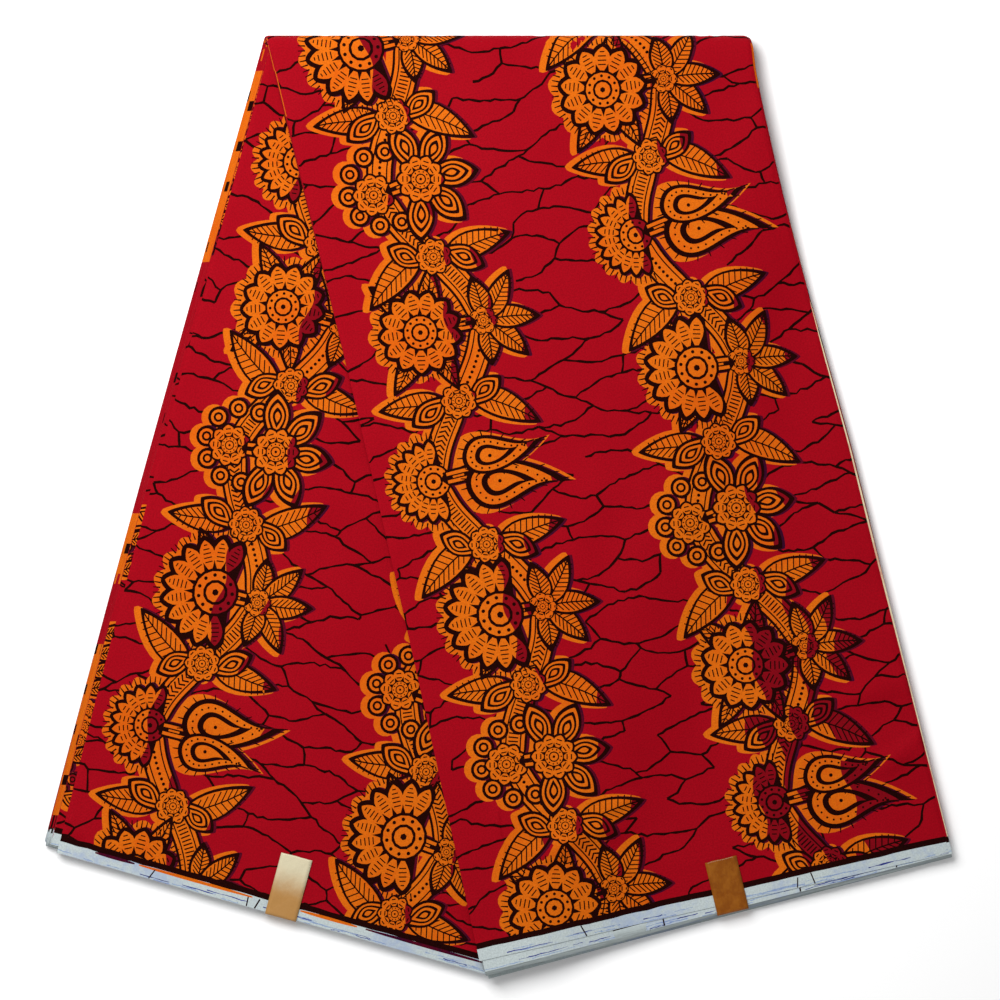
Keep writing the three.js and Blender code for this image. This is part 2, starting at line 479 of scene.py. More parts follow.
def leaf(length, width, bend=0.15):
    line, fullness = printing["line"], 0.85
    inner = blade(length - 4 * line, width - 2 * line, fullness, bend, 12) + (0, 1.6 * line)
    t = np.linspace(0.02, 0.97, 7)
    rib = stroke(np.stack([bend * length * t * t, t * length], -1), 1.0)
    shapes = [(blade(length, width, fullness, bend, 14), black), (inner, orange), (rib, black)]
    for share in np.arange(0.14, 0.84, 0.085):
        half = (width / 2 - line) * math.sin(math.pi * share**fullness) ** 0.8 * 0.95
        x, y = bend * length * share * share, share * length
        for side in (-1, 1):
            tip = (x + side * half, y + 0.55 * half + 1.0)
            shapes.append((stroke([(x, y), tip], printing["hatch"]), black))
    return shapes


def paisley(length, width, bend=0.34):
    focus = np.array([bend * length * 0.12, length * 0.36])
    whole = blade(length, width, 0.56, bend, 22)
    reach = whole[:, 1] / length
    whole = whole + np.stack([0.15 * length * reach**5, -0.05 * length * reach**4], -1)  # hooks the tip
    shapes = [(whole, black)]
    for at in whole[::2]:  # short rays all round
        away = (at - focus) / np.hypot(*(at - focus))
        shapes.append((stroke([at - away, at + away * 3.6], printing["ray"]), black))
    shapes += nested(whole, focus, (0.84, orange), (0.54, black), (0.36, orange))
    [(ring, _)] = nested(whole, focus, (0.69, black))
    shapes += [(disc(x, y, 0.8, 6), black) for x, y in ring[::2]]
    return shapes + [(disc(*focus, 1.3, 7), black)]


def pod(length, width):
    whole = blade(length, width, 1.3, 0.06, 14)
    parts = (1.0, black), (0.8, orange), (0.64, black), (0.49, orange), (0.33, black), (0.18, orange)
    return nested(whole, np.array([0, length * 0.56]), *parts)


def rings(count, radius, reach, spread):
    shapes = []
    for angle in np.radians(np.linspace(-spread / 2, spread / 2, count)):
        parts = (1.0, 16, black), (0.72, 16, orange), (0.48, 9, black), (0.26, 9, orange)
        shapes += discs(reach * math.sin(angle), reach * math.cos(angle), radius, *parts)
    return shapes


# layer is where the print lies, and shows tells of places on the table whether the print is seen there.
# A print that isn't fine leaves its smallest shapes out.
class Design:
    def __init__(self, seed, layer, shows, fine=True):
        self.random = random.Random(seed)
        self.layer, self.shows, self.fine = layer, shows, fine
        self.grounds, self.halos, self.shades, self.bodies = [], [], [], []

    def jitter(self, size):
        return self.random.uniform(-size, size)

    # Puts a motif down with its offset halo and shade. Its first shape casts them, or where outlineEvery is
    # given, the first and then every so many.
    def put(self, shapes, at, angle, size=1.0, flip=False, outlineEvery=None, rayed=False):
        placed = [(turned(points, at, angle, size, flip), ink) for points, ink in shapes]
        whole = placed[0][0]
        if not self.seen(whole):
            return
        casting = placed[::outlineEvery] if outlineEvery else placed[:1]
        if not self.fine:
            placed = [shape for shape in placed if abs(signedArea(shape[0])) > printing["smallest"]]
        left, right = whole[:, 0].min(), whole[:, 0].max()
        worn = ease((printing["worn"] - whole[:, 1].mean()) / 160) * ease((left - 60) / 140)
        if self.random.random() < 0.55 + 0.45 * worn:
            split = left + (right - left) * (self.random.uniform(0.76, 0.88) - 0.34 * worn)
            dyed = []
            for points, ink in placed:
                part = rightPart(points, split) if ink == orange else ()
                dyed += [(points, ink)] + ([(part, crimson)] if len(part) > 2 else [])
            placed = dyed
        for points, _ in casting:
            self.halos.append((self.halo(points, rayed), orange))
            self.shades.append((grown(points, printing["shadeGrow"]) + printing["shadeShift"], maroon))
        self.bodies += placed

    def halo(self, points, rayed):
        if not rayed:
            return grown(points, printing["haloGrow"]) + printing["haloShift"]
        middle = points.mean(axis=0)
        reach = np.hypot(*(points - middle).T).mean()
        wider = middle + (points - middle) * (1 + printing["rayedGrow"] / reach)
        return wider + np.array(printing["haloShift"]) / 2

    def seen(self, points):
        if self.shows is None:
            return True
        points = points[:: max(1, len(points) // 6)]
        across = np.clip(points[:, 0] / cloth["stripWidth"], 0, 1)
        x, y, _ = layOut(self.layer, across, points[:, 1]).T
        return bool(np.any(self.shows(x - foldX, y - foldY)))

    # A stem along a curve, with chevrons, bars or beads in it.
    def stem(self, points, width, style):
        points = np.asarray(points, float)
        line, wide = printing["line"], width > printing["wideStem"]
        rounded = np.sqrt(1 - np.abs(np.linspace(-1, 1, len(points))) ** 6 * 0.97)
        shapes = [(stroke(points, width * rounded), black)]
        for cut, lines, ink in ((1, 2, orange), (1, 4.6, black), (2, 5.7, orange))[: 3 if wide else 1]:
            shapes.append((stroke(points[cut:-cut], (width - lines * line) * rounded[cut:-cut]), ink))
        travelled = np.concatenate([[0], np.cumsum(np.hypot(*np.diff(points, axis=0).T))])
        half = width / 2 - (3.2 if wide else 1) * line
        spacing, mark, thickness = {
            "chevrons": (3.4, [(-half * 0.92, -1.5), (0, 1.0), (half * 0.92, -1.5)], 1.25),
            "bars": (2.7, [(-half * 0.85, 0), (half * 0.85, 0)], 1.0),
            "beads": (3.8, None, None),
        }[style]
        for distance in np.arange(5, travelled[-1] - 4, spacing):
            reached = (distance, distance + 1)
            here, ahead = ([np.interp(d, travelled, axis) for axis in points.T] for d in reached)
            angle = math.atan2(here[0] - ahead[0], ahead[1] - here[1])
            bead = disc(*here, 1.15, 8)
            shapes.append((stroke(turned(mark, here, angle), thickness) if mark else bead, black))
        self.put(shapes, (0, 0), 0)

    # Black veins round cells that lie like bricks.
    def veins(self, low, high):
        length, height = printing["veinLength"], printing["veinHeight"]
        columns = range(-1, int(cloth["stripWidth"] / length) + 3)
        rows = range(int(low / height) - 1, int(high / height) + 2)
        places = [(row, column) for row in rows for column in columns]
        node, edges = {}, []
        for row, column in places:
            for end in (0, 1):
                x, y = (column + (row % 2) / 2 + end / 2) * length, (row + end / 2) * height
                node[row, column, end] = np.array([x + self.jitter(12), y + self.jitter(3.2)])
        for row, column in places:
            here = row, column, 1
            across, above = (row, column + 1, 0), (row + 1, column + row % 2, 0)
            edges += [((row, column, 0), here), (here, across), (here, above)]
        for a, b in edges:
            if a not in node or b not in node or self.random.random() < printing["veinGap"]:
                continue
            reach = np.hypot(*(node[b] - node[a]))
            t = np.linspace(0, 1, max(3, int(reach / 3.3)))
            line = node[a] + (node[b] - node[a]) * t[:, None]
            line[:, 1] += self.jitter(0.11) * reach * np.sin(math.pi * t)
            wander = np.array([[self.jitter(0.6), self.jitter(1.0)] for _ in t])
            wander[0] = wander[-1] = 0
            width = printing["veinWidth"] * (1 + np.array([self.jitter(0.3) for _ in t]))
            if self.seen(line):
                self.grounds.append((stroke(line + wander, width), black))

    def phase(self, vine):
        return 0.7 + vine * 2.1

    def spine(self, vine, y):
        swing = math.sin(2 * math.pi * y / printing["vineWave"] + self.phase(vine))
        return printing["vines"][vine] + printing["vineSwing"] * swing + 5 * math.sin(y / 61 + vine)

    # A garland up the cloth, from bend to bend. number counts the bends.
    def garland(self, vine, low, high):
        wave = printing["vineWave"]
        firstBend = (math.pi / 2 - self.phase(vine)) / (2 * math.pi) * wave
        number = math.floor((low - firstBend) / (wave / 2)) - 1
        styles = ["chevrons", "beads", "bars"]
        while firstBend + number * wave / 2 < high + wave:
            y = firstBend + number * wave / 2
            side = 1 if number % 2 == 0 else -1
            x = self.spine(vine, y)
            kind = (number + vine * 2) % 4

            # the vine itself, in two lengths, from this bend to the next
            for part in range(2):
                start = y + part * wave / 4 + 1
                ys = np.linspace(start, start + wave / 4 - 2, 19)
                curve = [(self.spine(vine, v), v) for v in ys]
                self.stem(curve, printing["stem"], styles[(number * 2 + part + vine) % 3])

            # what grows outside the bend
            outward = -side * math.pi / 2
            if kind == 1:
                self.put(rings(7, 7.2, 25, 210), (x - side * 2, y + self.jitter(3)), outward, outlineEvery=4)
                self.put(flower(15, 9), (x + side * 6, y), 0)
            elif kind == 3:
                self.put(flower(29, 11, 210, rayed=True), (x + side * 3, y), outward, rayed=True)
            else:
                for turn, long in ((-1.5, 31), (-0.75, 38), (0.0, 38), (0.75, 38), (1.5, 31)):
                    self.put(leaf(long, 17, 0.14), (x + side * 3, y), outward + turn, flip=turn > 0)
                self.put(flower(10, 7), (x + side * 2, y), 0)

            # the blossom inside the bend, on a short stalk
            bx, by = x - side * (41 + self.jitter(2)), y + self.jitter(5)
            self.stem([(x - side * t * 26, y + t * (by - y)) for t in np.linspace(0.1, 1, 7)], 11, "bars")
            size = 1 + self.jitter(0.05)
            inward = side * math.pi / 2
            if kind == 0:
                for turn in (-2.0, -1.0, 1.0, 2.0):
                    self.put(leaf(46, 18, 0.2), (bx, by), -inward + turn, flip=turn > 0)
                self.put(flower(31 * size, 13, rayed=True), (bx, by), self.jitter(3), rayed=True)
            elif kind == 1:
                for turn in (-1.7, -0.85, 0, 0.85, 1.7):
                    self.put(pod(42, 20), (bx + side * 17, by), inward + turn, size, flip=turn > 0)
                self.put(flower(17 * size, 10), (bx + side * 15, by), 0.4)
            elif kind == 2:
                for bend, turn in ((1, -1), (-1, 1)):
                    self.put(leaf(44, 18, bend * 0.15), (bx + side * 14, by + turn * 3), -inward + turn * 2.0)
                self.put(flower(38 * size, 11, 230, rayed=True), (bx + side * 12, by), inward, rayed=True)
            else:
                big, small = paisley(64 * size, 34), paisley(52 * size, 27)
                self.put(big, (bx + side * 21, by - 17), inward * 0.72, flip=side > 0, rayed=True)
                self.put(small, (bx + side * 19, by + 16), inward * 1.35, flip=side < 0, rayed=True)

            # leaves and pods where the vine crosses over
            cy = y + wave / 4
            cx = self.spine(vine, cy)
            self.put(leaf(54, 21, 0.2), (cx - side * 5, cy + 4), side * 1.95, flip=side > 0)
            self.put(leaf(50, 20, 0.2), (cx + side * 5, cy - 4), -side * 1.2, flip=side < 0)
            self.put(pod(36, 18), (cx + side * 3, cy + 6), -side * 2.1)
            self.put(pod(33, 17), (cx - side * 3, cy - 6), side * 1.0)
            self.put(flower(13, 9), (cx, cy), 0)
            number += 1

    # Small motifs along the left side, for a layer of which no more than that is seen.
    def sideMotifs(self, stretches):
        kinds = [
            (rings(3, 4.6, 8, 150), -5, -math.pi / 2, 4),
            (pod(22, 13), -5, -1.35, None),
            (flower(9, 9), 1, 0.3, None),
            (leaf(24, 12), -6, -1.9, None),
        ]
        for low, high in stretches:
            y = alongOf(self.layer, 0, "back", low)
            while y < alongOf(self.layer, 0, "back", high):
                shapes, x, angle, outlineEvery = kinds[self.random.randrange(4)]
                self.put(shapes, (x, y), angle, outlineEvery=outlineEvery)
                y += self.random.uniform(9, 14)

    def all(self):
        return self.grounds + self.halos + self.shades + self.bodies


# The small marks at the ends: smears of dye that has run along the raw edge, and ticks across the selvedge.
marks = {
    "smears": 34,
    "smearLength": (5, 34),
    "smearDepth": (0.3, 3.4),
    "smearWidth": (0.15, 0.8),
    "stained": 0.22,  # share of the smears in the darker blue
    "ticks": 3,
    "tickLength": (6, 9),
    "tickWidth": (0.8, 1.1),
    "misprints": ((0.08, 0.17, maroon), (0.18, 0.44, orange), (0.55, 0.68, orange), (0.7, 0.98, maroon)),
}


# The plain border and the selvedge at both ends of a strip, with the ends' own small marks.
def endBands(layer, seed, misprint=False):
    rng = random.Random(seed)
    width, selvedge = cloth["stripWidth"], cloth["selvedge"]
    us = np.linspace(-4, width + 4, 42)
    wobble = np.array([rng.uniform(-0.35, 0.35) for _ in us])
    shapes = []

    # Places at a depth from the front or the back end.
    def inwards(u, depth, front):
        return np.stack([u, depth if front else endOf(layer, u / width) - depth], -1)

    for front in (True, False):
        for low, high, ink in ((selvedge, selvedge + cloth["border"], black), (-6, selvedge, white)):
            lower, upper = inwards(us, low + wobble, front), inwards(us, high + wobble, front)
            shapes.append((np.concatenate([lower, upper[::-1]]), ink))
        if misprint and not front:
            for start, end, ink in marks["misprints"]:
                part = np.linspace(start, end, 9) * width
                wide = 2.2 * np.sin(np.linspace(0.12, math.pi - 0.12, 9)) ** 0.4
                shapes.append((stroke(inwards(part, selvedge - 0.9, front), wide), ink))
        for _ in range(marks["smears"]):
            u, length = rng.uniform(-5, width), rng.uniform(*marks["smearLength"])
            part = np.linspace(u, u + length, 7)
            depth = rng.uniform(*marks["smearDepth"])
            line = np.array([depth + rng.uniform(-0.3, 0.3) for _ in part])
            wide = [rng.uniform(*marks["smearWidth"]) for _ in part]
            ink = stain if rng.random() < marks["stained"] else wash
            shapes.append((stroke(inwards(part, line, front), wide), ink))
        for _ in range(marks["ticks"]):
            u = rng.uniform(8, width - 8)
            length, lean = rng.uniform(*marks["tickLength"]), rng.uniform(-3, 3)
            sign, end = (1, 0) if front else (-1, float(endOf(layer, u / width)))
            tick = [(u, end + sign * 0.2), (u + lean, end + sign * length)]
            shapes.append((stroke(tick, rng.uniform(*marks["tickWidth"])), black))
    return shapes


# Sheets of cloth

weaving = {
    "thread": 0.62,  # from one thread to the next
    "threadDepth": 0.00003,
    "grainDepth": 0.00005,
    "waveDepth": 0.0011,
    "roughness": 0.72,
    "patchiness": 0.35,
}


# dark and light are how far a tone strays from the colour. second is another dye that shows in places.
def makeMaterial(name, colour, dark, light, second=None, rough=weaving["roughness"], shine=0.04, sheen=0.012):
    tree = Tree(name)
    where = tree.add("ShaderNodeUVMap", {"uv_map": "cloth"})
    grain = tree.noise(where, 900, 2, 0.6)
    patches = tree.noise(where, 14, 3, 0.55)
    specks = tree.noise(where, 260, 1, 0.5)
    base = linear(*colour)
    deep = [c * dark for c in base] + [1]
    pale = [min(1, c * light) for c in base] + [1]
    tone = tree.mix(tree.between(grain, 0.3, 0.7), deep, pale)
    tone = tree.mix(tree.between(patches, 0.3, 0.75) * weaving["patchiness"], tone, deep)
    if second:
        amount, dye = second
        tone = tree.mix(tree.between(patches + specks * 0.35, 0.62, 0.86) * amount, tone, [*linear(*dye), 1])
    tree.finish({
        "Base Color": tone,
        "Roughness": tree.between(patches, 0.2, 0.8, rough - 0.06, rough + 0.06),
        "Specular IOR Level": shine,
        "Sheen Weight": sheen,
        "Sheen Roughness": 0.45,
    })

    # a plain weave: warp and weft threads take turns to be on top
    thread = 2 * math.pi / (weaving["thread"] * mm)
    u, v = (tree.add("ShaderNodeSeparateXYZ", {}, where, output=axis) for axis in ("X", "Y"))
    weave = (u * thread).math("SINE") * (v * thread).math("SINE")
    waves = tree.noise(where, 22, 2, 0.5)
    tree.bump(weave * weaving["threadDepth"] + waves * weaving["waveDepth"] + grain * weaving["grainDepth"])
    return tree.material


inks = [
    makeMaterial("printRed", (146, 2, 19), 0.84, 1.12),
    makeMaterial("printOrange", (202, 96, 10), 0.82, 1.1, (0.3, (192, 54, 6))),
    makeMaterial("printBlack", (27, 3, 2), 0.6, 1.5, rough=0.85, shine=0.03, sheen=0.0),
    makeMaterial("printMaroon", (78, 2, 24), 0.7, 1.25, (0.8, (32, 3, 34))),
    makeMaterial("printCrimson", (122, 3, 16), 0.84, 1.12, (0.25, (84, 3, 20))),
    makeMaterial("selvedgeWhite", (180, 190, 190), 0.86, 1.08, (0.6, (140, 156, 190)), sheen=0.1),
    makeMaterial("dyeStain", (44, 52, 122), 0.8, 1.4, (0.6, (16, 14, 52))),
    makeMaterial("dyeWash", (138, 156, 184), 0.8, 1.15, (0.6, (96, 112, 168))),
    makeMaterial("rawEdge", (206, 192, 158), 0.86, 1.08, (0.5, (168, 40, 44)), sheen=0.1),
]


# Columns of a sheet's mesh, closest at its sides.
def columnsAcross(spacing):
    width, sides = cloth["stripWidth"], np.array([0, 0.7, 1.6, 3])
    inner = np.linspace(6, width - 6, int(width / spacing))
    return np.concatenate([sides, inner, width - sides[::-1]]) / width


# Triangulates a stretch of a layer so that every printed edge is an edge of the mesh. The first cut has all
# shapes in painting order, the second only the edges between inks that show.
def cutPrint(layer, rows, spacing, shapes):
    width = cloth["stripWidth"]
    across = columnsAcross(spacing)
    grid = [[(a * width, float(alongOf(layer, a, zone, share))) for a in across] for zone, share in rows]
    between = grid[1:-1]
    outline = grid[0] + [row[-1] for row in between] + grid[-1][::-1] + [row[0] for row in between][::-1]
    verts, faces, order = list(outline), [list(range(len(outline)))], [red]
    low, high = min(p[1] for p in outline), max(p[1] for p in outline)
    for points, ink in shapes:
        us, vs = points.T
        if vs.max() < low or vs.min() > high or us.max() < 0 or us.min() > width:
            continue
        if signedArea(points) < 0:
            points = points[::-1]
        faces.append(list(range(len(verts), len(verts) + len(points))))
        verts += [tuple(p) for p in points]
        order.append(ink)
    inner = [p for row in between for p in row[1:-1]]
    inner += [p for p in creasePlaces(layer) if low + 4 < p[1] < high - 4]
    verts += inner
    flat = [Vector(p) for p in verts]
    points, _, triangles, _, _, owners = geometry.delaunay_2d_cdt(flat, [], faces, 0, 1e-4, True)
    points = np.array([p[:] for p in points])
    corners = [points[np.array(triangles)[:, i]] for i in range(3)]
    areas = 0.5 * cross(corners[1] - corners[0], corners[2] - corners[0])
    covered = np.zeros(len(faces))
    np.add.at(covered, np.concatenate(owners).astype(int), np.repeat(areas, [len(owner) for owner in owners]))
    sizes = [signedArea(np.array([verts[v] for v in face])) for face in faces]
    # shapes that cross themselves count for nothing
    spilt = {i for i in range(1, len(faces)) if covered[i] > 1.5 * sizes[i] + 3}
    firstInks = [order[max(set(owner) - spilt)] if 0 in owner else outside for owner in owners]
    inkAt = {}  # the ink to the left of each edge
    for triangle, ink in zip(triangles, firstInks):
        if ink != outside:
            for edge in edgesOf(triangle):
                inkAt[edge] = ink
    inkAt = {(a, b): ink for (a, b), ink in inkAt.items() if inkAt.get((b, a)) != ink}
    simplified(points, inkAt)

    # the same print again, without what lay hidden under other ink
    used = sorted({v for edge in inkAt for v in edge})
    placeOf = {old: new for new, old in enumerate(used)}
    borders = [(placeOf[a], placeOf[b]) for a, b in inkAt if a < b or (b, a) not in inkAt]
    flat = [Vector(points[v]) for v in used] + [Vector(p) for p in inner]
    made = geometry.delaunay_2d_cdt(flat, borders, [], 0, 1e-5, True)
    flat, triangles = np.array([p[:] for p in made[0]]), made[2]
    oldOf = [used[olds[0]] if olds and olds[0] < len(used) else -1 for olds in made[3]]
    fixed = {tuple(sorted(edge)) for edge, olds in zip(made[1], made[4]) if olds}
    beside = {edge: i for i, triangle in enumerate(triangles) for edge in edgesOf(triangle)}
    inkOf, waiting = [None] * len(triangles), []
    for i, triangle in enumerate(triangles):
        for a, b in edgesOf(triangle):
            edge = oldOf[a], oldOf[b]
            if edge in inkAt or (edge[1], edge[0]) in inkAt:
                inkOf[i] = inkAt.get(edge, outside)
                waiting.append(i)
                break

    def spread():
        while waiting:
            i = waiting.pop()
            for a, b in edgesOf(triangles[i]):
                other = beside.get((b, a))
                if other is not None and inkOf[other] is None and tuple(sorted((a, b))) not in fixed:
                    inkOf[other] = inkOf[i]
                    waiting.append(other)

    spread()
    for i, triangle in enumerate(triangles):
        if inkOf[i] is None:  # a patch whose edges were all cut anew
            place = flat[list(triangle)].mean(axis=0)
            around = [cross(corners[(k + 1) % 3] - corners[k], place - corners[k]) > -1e-9 for k in range(3)]
            found = np.flatnonzero(around[0] & around[1] & around[2])
            inkOf[i] = firstInks[found[0]] if len(found) else outside
            waiting.append(i)
            spread()
    kept = [i for i, ink in enumerate(inkOf) if ink != outside]
    return flat, np.array([triangles[i] for i in kept]), np.array([inkOf[i] for i in kept]), grid


def cross(first, second):
    return first[..., 0] * second[..., 1] - first[..., 1] * second[..., 0]


def edgesOf(triangle):
    a, b, c = triangle
    return (a, b), (b, c), (c, a)


# Drops the points along the edge between two inks that lie all but straight between their neighbours.
def simplified(points, inkAt, tolerance=0.03):
    neighbours = {}
    for a, b in inkAt:
        neighbours.setdefault(a, set()).add(b)
        neighbours.setdefault(b, set()).add(a)
    for v in list(neighbours):
        if len(neighbours[v]) != 2:
            continue
        a, b = neighbours[v]
        if not all(edge in inkAt for edge in ((a, v), (v, a), (b, v), (v, b))):
            continue  # on the sheet's own outline
        along, away = points[b] - points[a], points[v] - points[a]
        bent = abs(cross(along, away)) > tolerance * np.hypot(*along)
        if bent or b in neighbours[a] or not 0 < along @ away < along @ along:
            continue
        inkAt[a, b], inkAt[b, a] = inkAt.pop((a, v)), inkAt.pop((b, v))
        del inkAt[v, b], inkAt[v, a]
        neighbours[a] ^= {v, b}
        neighbours[b] ^= {v, a}
        neighbours[v] = set()


# The flat outline of a triangulation, once round.
def boundary(triangles):
    edges = {edge for triangle in triangles.tolist() for edge in edgesOf(triangle)}
    after = {a: b for a, b in edges if (b, a) not in edges}
    loop = [next(iter(after))]
    while after[loop[-1]] != loop[0]:
        loop.append(after[loop[-1]])
    return loop


def layerNormals(layer, across, along):
    step = 0.4
    low, high = (np.clip(across + d / cloth["stripWidth"], 0, 1) for d in (-step, step))
    du = layOut(layer, high, along) - layOut(layer, low, along)
    dv = layOut(layer, across, along + step) - layOut(layer, across, along - step)
    normal = np.cross(du, dv)
    return normal / np.linalg.norm(normal, axis=1)[:, None]


# An object of printed cloth. slots are the faces' inks, and uvs the corners' places on the flat cloth.
def clothPiece(name, points, faces, slots, uvs):
    mesh = bpy.data.meshes.new(name)
    mesh.from_pydata(points, [], faces)
    mesh.polygons.foreach_set("material_index", np.array(slots, np.int32))
    mesh.polygons.foreach_set("use_smooth", np.ones(len(faces), bool))
    for material in inks:
        mesh.materials.append(material)
    mesh.uv_layers.new(name="cloth").data.foreach_set("uv", np.array(uvs, np.float32).ravel())
    piece = bpy.data.objects.new(name, mesh)
    scene.collection.objects.link(piece)
    print(f"{name}: {len(faces)} faces")
    return piece


def ownedBy(piece, node):
    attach(piece, "root")
    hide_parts(node)


# A closed shell one sheet thick: printed on the face that is seen, and plain on the hidden one.
# side is 1 where the layer's outer face is seen, and -1 where its inner face is.
def clothShell(name, layer, flat, triangles, inkOf, grid, side):
    used = np.unique(triangles)
    renumber = np.zeros(len(flat), int)
    renumber[used] = np.arange(len(used))
    flat, triangles = flat[used], renumber[triangles]
    loop = boundary(triangles)

    # the hidden face has the same outline and no creases
    plainPoints = [Vector(flat[v]) for v in loop] + [Vector(p) for row in grid[1:-1] for p in row[1:-1]]
    made = geometry.delaunay_2d_cdt(plainPoints, [], [list(range(len(loop)))], 0, 1e-9, True)
    plainFlat = np.array([p[:] for p in made[0]])
    plainTriangles = np.array([t for t, owner in zip(made[2], made[5]) if owner])
    placeOf = {old: new for new, olds in enumerate(made[3]) for old in olds}

    count = len(flat)
    everything = np.concatenate([flat, plainFlat])
    across, along = everything[:, 0] / cloth["stripWidth"], everything[:, 1]
    lift = np.full(len(everything), -side * cloth["sheet"] / 2)
    lift[:count] *= -1
    points = layOut(layer, across, along, lift) * mm
    points[count:] = layOut({**layer, "creased": None}, across[count:], along[count:], lift[count:]) * mm
    normal = layerNormals(layer, across, along) * np.sign(lift)[:, None]

    printed = triangles if side > 0 else triangles[:, ::-1]
    plain = (plainTriangles[:, ::-1] if side > 0 else plainTriangles) + count
    rim = []
    for i, a in enumerate(loop):
        j = (i + 1) % len(loop)
        quad = [loop[j], a, placeOf[i] + count, placeOf[j] + count]
        rim.append(quad if side > 0 else quad[::-1])
    faces = printed.tolist() + plain.tolist() + rim
    total = endOf(layer, 0.5)
    middles = np.concatenate([plainFlat[plainTriangles].mean(axis=1)[:, 1], flat[loop][:, 1]])
    plainInks = np.where(np.minimum(middles, total - middles) < cloth["selvedge"], white, red)
    corner = np.array([v for face in faces for v in face])
    slots = np.concatenate([inkOf, plainInks])
    piece = clothPiece(name, points.tolist(), faces, slots, everything[corner] * mm)
    cornerNormals = normal[corner]
    cornerNormals[(len(printed) + len(plain)) * 3 :] = 0  # the rim keeps its own normals
    piece.data.normals_split_custom_set(cornerNormals.tolist())
    return piece


sheets = {
    "outerSeed": 11,
    "innerSeed": 24,
    "underSeed": 35,
    "frontSize": (0.323, 0.632),
    "backSize": (0.323, 0.612),
    "wholeSize": (0.323, 1.24),
    "halfRows": 66,
    "wholeRows": 42,
    "turnRows": 14,
    "coarseTurn": 8,
    "innerTurn": 4,
    "leftMotifs": [(0.02, 0.26), (0.58, 0.66), (0.74, 0.96)],  # where the back half's left side has motifs
}


def rowsIn(zone, count):
    first = 0 if zone == "front" else 1
    return [(zone, i / count) for i in range(first, count + 1)]


def design(seed, layer, shows=None, fine=True, misprint=False, stretches=()):
    drawn = Design(seed, layer, shows, fine)
    total = float(endOf(layer, 0.5))
    drawn.veins(-10, total + 60)
    for vine in range(len(printing["vines"])):
        drawn.garland(vine, 0, total)
    drawn.sideMotifs(stretches)
    return drawn.all() + endBands(layer, seed, misprint)


# Tells of places, measured from the middle of the fold, whether they lie past a line that leans as a side of
# the cloth does, less a margin. side is 1 for what is right of it and -1 for what is left.
def beyond(side, lean, margin):
    slope = math.tan(math.radians(lean))
    return lambda x, y: side * x > cloth["foldLength"] / 2 + y * slope - margin


leftOfFront, rightOfBack, leftSide = beyond(-1, 12.9, 8), beyond(1, 15.4, 8), beyond(-1, -15.0, 6)


def sheetPiece(name, layer, rows, spacing, shapes, side, node):
    flat, triangles, inkOf, grid = cutPrint(layer, rows, spacing, shapes)
    piece = clothShell(name, layer, flat, triangles, inkOf, grid, side)
    ownedBy(piece, node)
    return piece


halfRows = rowsIn("front", sheets["halfRows"]) + rowsIn("turn", sheets["turnRows"])
otherRows = [("turn", 1.0)] + rowsIn("back", sheets["halfRows"])
innerRows = rowsIn("front", sheets["halfRows"]) + rowsIn("turn", sheets["innerTurn"])
shapes = design(sheets["outerSeed"], outerLayer)
front = sheetPiece("frontPanel", outerLayer, halfRows, 9, shapes, 1, "outer_layer")
shapes = design(sheets["outerSeed"], outerLayer, fine=False)
under = sheetPiece("undersidePanel", outerLayer, otherRows, 12, shapes, 1, "outer_layer")
shapes = design(sheets["innerSeed"], innerLayer, leftOfFront, misprint=True)
back = sheetPiece("backPanel", innerLayer, otherRows, 9, shapes, -1, "inner_layer")
shapes = design(sheets["innerSeed"], innerLayer, rightOfBack, fine=False)
inside = sheetPiece("frontLowerPanel", innerLayer, innerRows, 9, shapes, -1, "inner_layer")
print("printed panels made")


# The layers just below them, which reach out beside them

wholeRows = rowsIn("front", sheets["wholeRows"]) + rowsIn("turn", sheets["coarseTurn"])
wholeRows += rowsIn("back", sheets["wholeRows"])
rawEdge = [(-1, 0), (-1, 400), (0.3, 380), (1.3, 320), (1.5, 240), (0.8, 120), (0.5, 6)]  # inwards and along
rawEdge = np.array([(cloth["stripWidth"] - inwards, along) for inwards, along in rawEdge])
shapes = [(rawEdge, cream)] + endBands(frontUnderLayer, 5)
frontUnder = sheetPiece(
    "frontUnderLayer", frontUnderLayer, wholeRows, 16, shapes, 1, "front_under_layer"
)
shapes = design(sheets["underSeed"], backUnderLayer, leftSide, stretches=sheets["leftMotifs"])
backUnder = sheetPiece(
    "backUnderLayer", backUnderLayer, wholeRows, 16, shapes, -1, "back_under_layer"
)

stack = {
    "first": 2,
    "last": 14,
    "acrossSteps": 9,
    "loopSteps": 4,
    "frontRows": 40,
    "backRows": 76,
    "raggedEnd": 2.2,
    "raggedSide": 0.9,
    "outset": 0.42,
    "thickness": 0.85,  # share of a sheet's thickness
    "flat": (1.24, 4.2),
}


# The ink of a patch on the stack's sides. waver sets a layer's patches off from those of others.
def patch(zone, share, layer, waver, side):
    share += 0.003 * math.sin(waver * 5)
    if zone == "back" and side < 0:
        motif = any(low < share < high for low, high in sheets["leftMotifs"])
    else:
        motif = math.sin(share * 19 + waver) > 0.8
    mark = math.sin(share * 260 + layer * 0.25) + math.sin(share * 111 + 1)
    return black if mark > (1.35 if motif else 1.85) else orange if motif else red


def square(u, v):
    return (u, v), (u + 1, v), (u + 1, v + 1), (u, v + 1)


